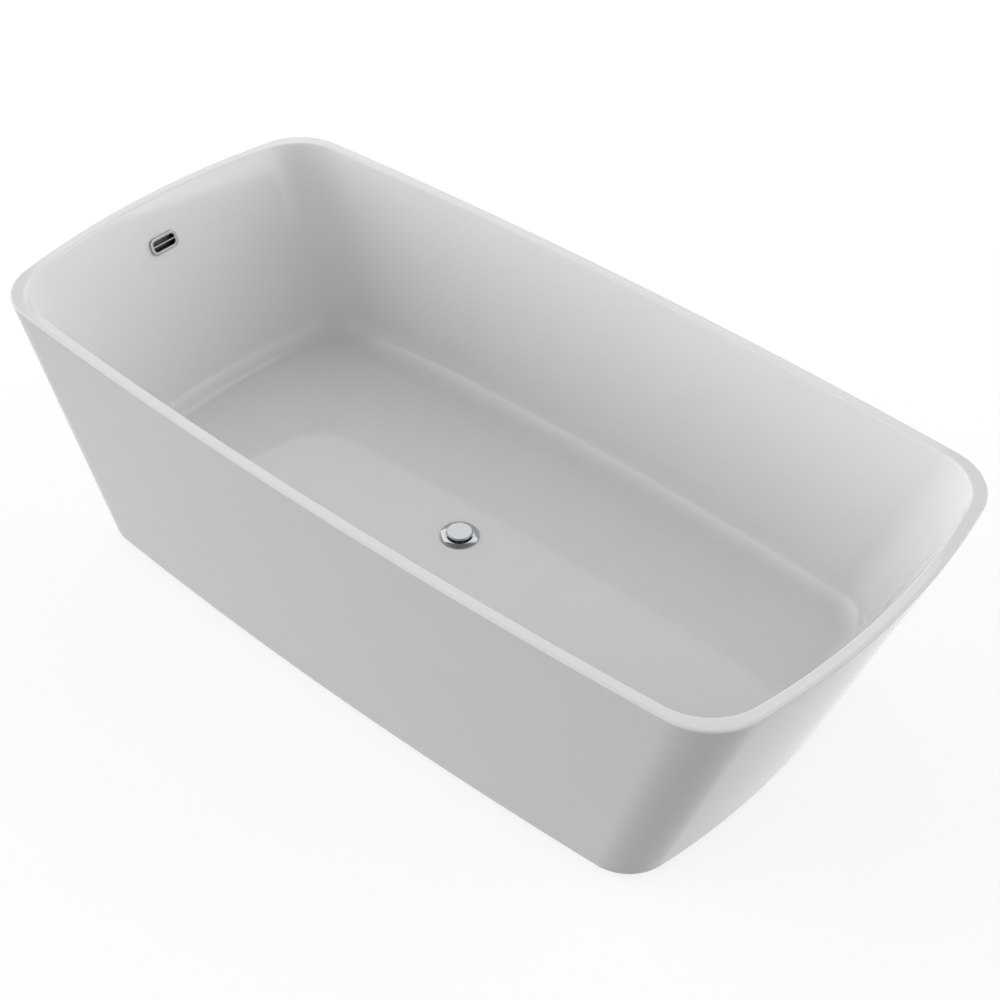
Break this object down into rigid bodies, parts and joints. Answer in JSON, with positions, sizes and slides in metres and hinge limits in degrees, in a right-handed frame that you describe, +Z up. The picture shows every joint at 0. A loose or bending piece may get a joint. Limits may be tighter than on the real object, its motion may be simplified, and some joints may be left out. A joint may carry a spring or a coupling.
{
  "type": "freestanding bathtub",
  "caption": "Double-ended freestanding acrylic bath with sloping ends, flat rim, chrome press-to-shut waste, slotted end overflow, steel frame and levelling feet.",
  "frame": {"origin": "on the ground under the middle of the bath", "axes": "+Z up, +X along the length away from the overflow end, +Y across the width"},
  "size_m": [1.7, 0.83, 0.5],
  "materials": {
    "acrylic": "polished white sheet acrylic",
    "bond": "cured adhesive bead",
    "board": "chipboard",
    "glue_block": "planed softwood",
    "frame_steel": "grey powder coat",
    "zinc": "zinc plated",
    "black_plastic": "moulded",
    "chrome": "bright chrome plate",
    "seal_rubber": "black rubber",
    "pipe_white": "moulded white polypropylene",
    "nut_grey": "moulded grey polypropylene",
    "brass": "turned",
    "spring_steel": "stainless"
  },
  "bodies": {
    "tub": {"base_board": "board", "basin": "acrylic", "board_screws": "zinc", "cross_tube_1": "frame_steel", "cross_tube_2": "frame_steel", "cross_tube_3": "frame_steel", "cross_tube_4": "frame_steel", "elbow_nut": "nut_grey", "flange_gasket": "seal_rubber", "frame_rail_back": "frame_steel", "frame_rail_front": "frame_steel", "glue_block_1": "glue_block", "glue_block_2": "glue_block", "glue_block_3": "glue_block", "glue_block_4": "glue_block", "lock_nuts": "zinc", "overflow_bezel": "chrome", "overflow_duct": "pipe_white", "overflow_elbow": "pipe_white", "overflow_gasket": "seal_rubber", "overflow_head": "pipe_white", "overflow_pipe": "pipe_white", "pipe_clips": "black_plastic", "plug_sleeve": "brass", "rail_end_caps": "black_plastic", "rim_bond": "bond", "skirt": "acrylic", "tail_nut": "nut_grey", "tail_pipe": "pipe_white", "tee_nut": "nut_grey", "tie_bar_1": "frame_steel", "tie_bar_2": "frame_steel", "tie_bar_3": "frame_steel", "tie_bar_4": "frame_steel", "tie_screws": "zinc", "under_gasket": "seal_rubber", "waste_flange": "chrome", "waste_lock_nut": "nut_grey", "waste_tee": "pipe_white", "weld_nuts": "zinc"},
    "plug": {"plug_cap": "chrome", "plug_seal": "seal_rubber", "plug_stem": "spring_steel", "plug_spring": "spring_steel"},
    "foot_1": {"foot_pad_1": "black_plastic"},
    "foot_screw_1": {"foot_stud_1": "zinc"},
    "foot_2": {"foot_pad_2": "black_plastic"},
    "foot_screw_2": {"foot_stud_2": "zinc"},
    "foot_3": {"foot_pad_3": "black_plastic"},
    "foot_screw_3": {"foot_stud_3": "zinc"},
    "foot_4": {"foot_pad_4": "black_plastic"},
    "foot_screw_4": {"foot_stud_4": "zinc"}
  },
  "joints": [
    {"name": "plug_press", "type": "slide", "parent": "tub", "child": "plug", "axis": [0, 0, -1], "range_m": [0, 0.007], "stiffness_N_per_m": 800, "springref_m": -0.006, "deforming": ["plug_spring"]},
    {"name": "foot_1_height", "type": "slide", "parent": "tub", "child": "foot_1", "axis": [0, 0, -1], "range_m": [-0.006, 0.012]},
    {"name": "foot_1_turn", "type": "hinge", "parent": "foot_1", "child": "foot_screw_1", "pos_m": [-0.48, -0.2, 0.012], "axis": [0, 0, -1], "range_deg": [-1234.3, 2468.6]},
    {"name": "foot_2_height", "type": "slide", "parent": "tub", "child": "foot_2", "axis": [0, 0, -1], "range_m": [-0.006, 0.012]},
    {"name": "foot_2_turn", "type": "hinge", "parent": "foot_2", "child": "foot_screw_2", "pos_m": [-0.48, 0.2, 0.012], "axis": [0, 0, -1], "range_deg": [-1234.3, 2468.6]},
    {"name": "foot_3_height", "type": "slide", "parent": "tub", "child": "foot_3", "axis": [0, 0, -1], "range_m": [-0.006, 0.012]},
    {"name": "foot_3_turn", "type": "hinge", "parent": "foot_3", "child": "foot_screw_3", "pos_m": [0.48, -0.2, 0.012], "axis": [0, 0, -1], "range_deg": [-1234.3, 2468.6]},
    {"name": "foot_4_height", "type": "slide", "parent": "tub", "child": "foot_4", "axis": [0, 0, -1], "range_m": [-0.006, 0.012]},
    {"name": "foot_4_turn", "type": "hinge", "parent": "foot_4", "child": "foot_screw_4", "pos_m": [0.48, 0.2, 0.012], "axis": [0, 0, -1], "range_deg": [-1234.3, 2468.6]}
  ],
  "couplings": [
    {"joint": "foot_1_turn", "follows": "foot_1_height", "rad_per_m": 3590.4},
    {"joint": "foot_2_turn", "follows": "foot_2_height", "rad_per_m": 3590.4},
    {"joint": "foot_3_turn", "follows": "foot_3_height", "rad_per_m": 3590.4},
    {"joint": "foot_4_turn", "follows": "foot_4_height", "rad_per_m": 3590.4}
  ]
}
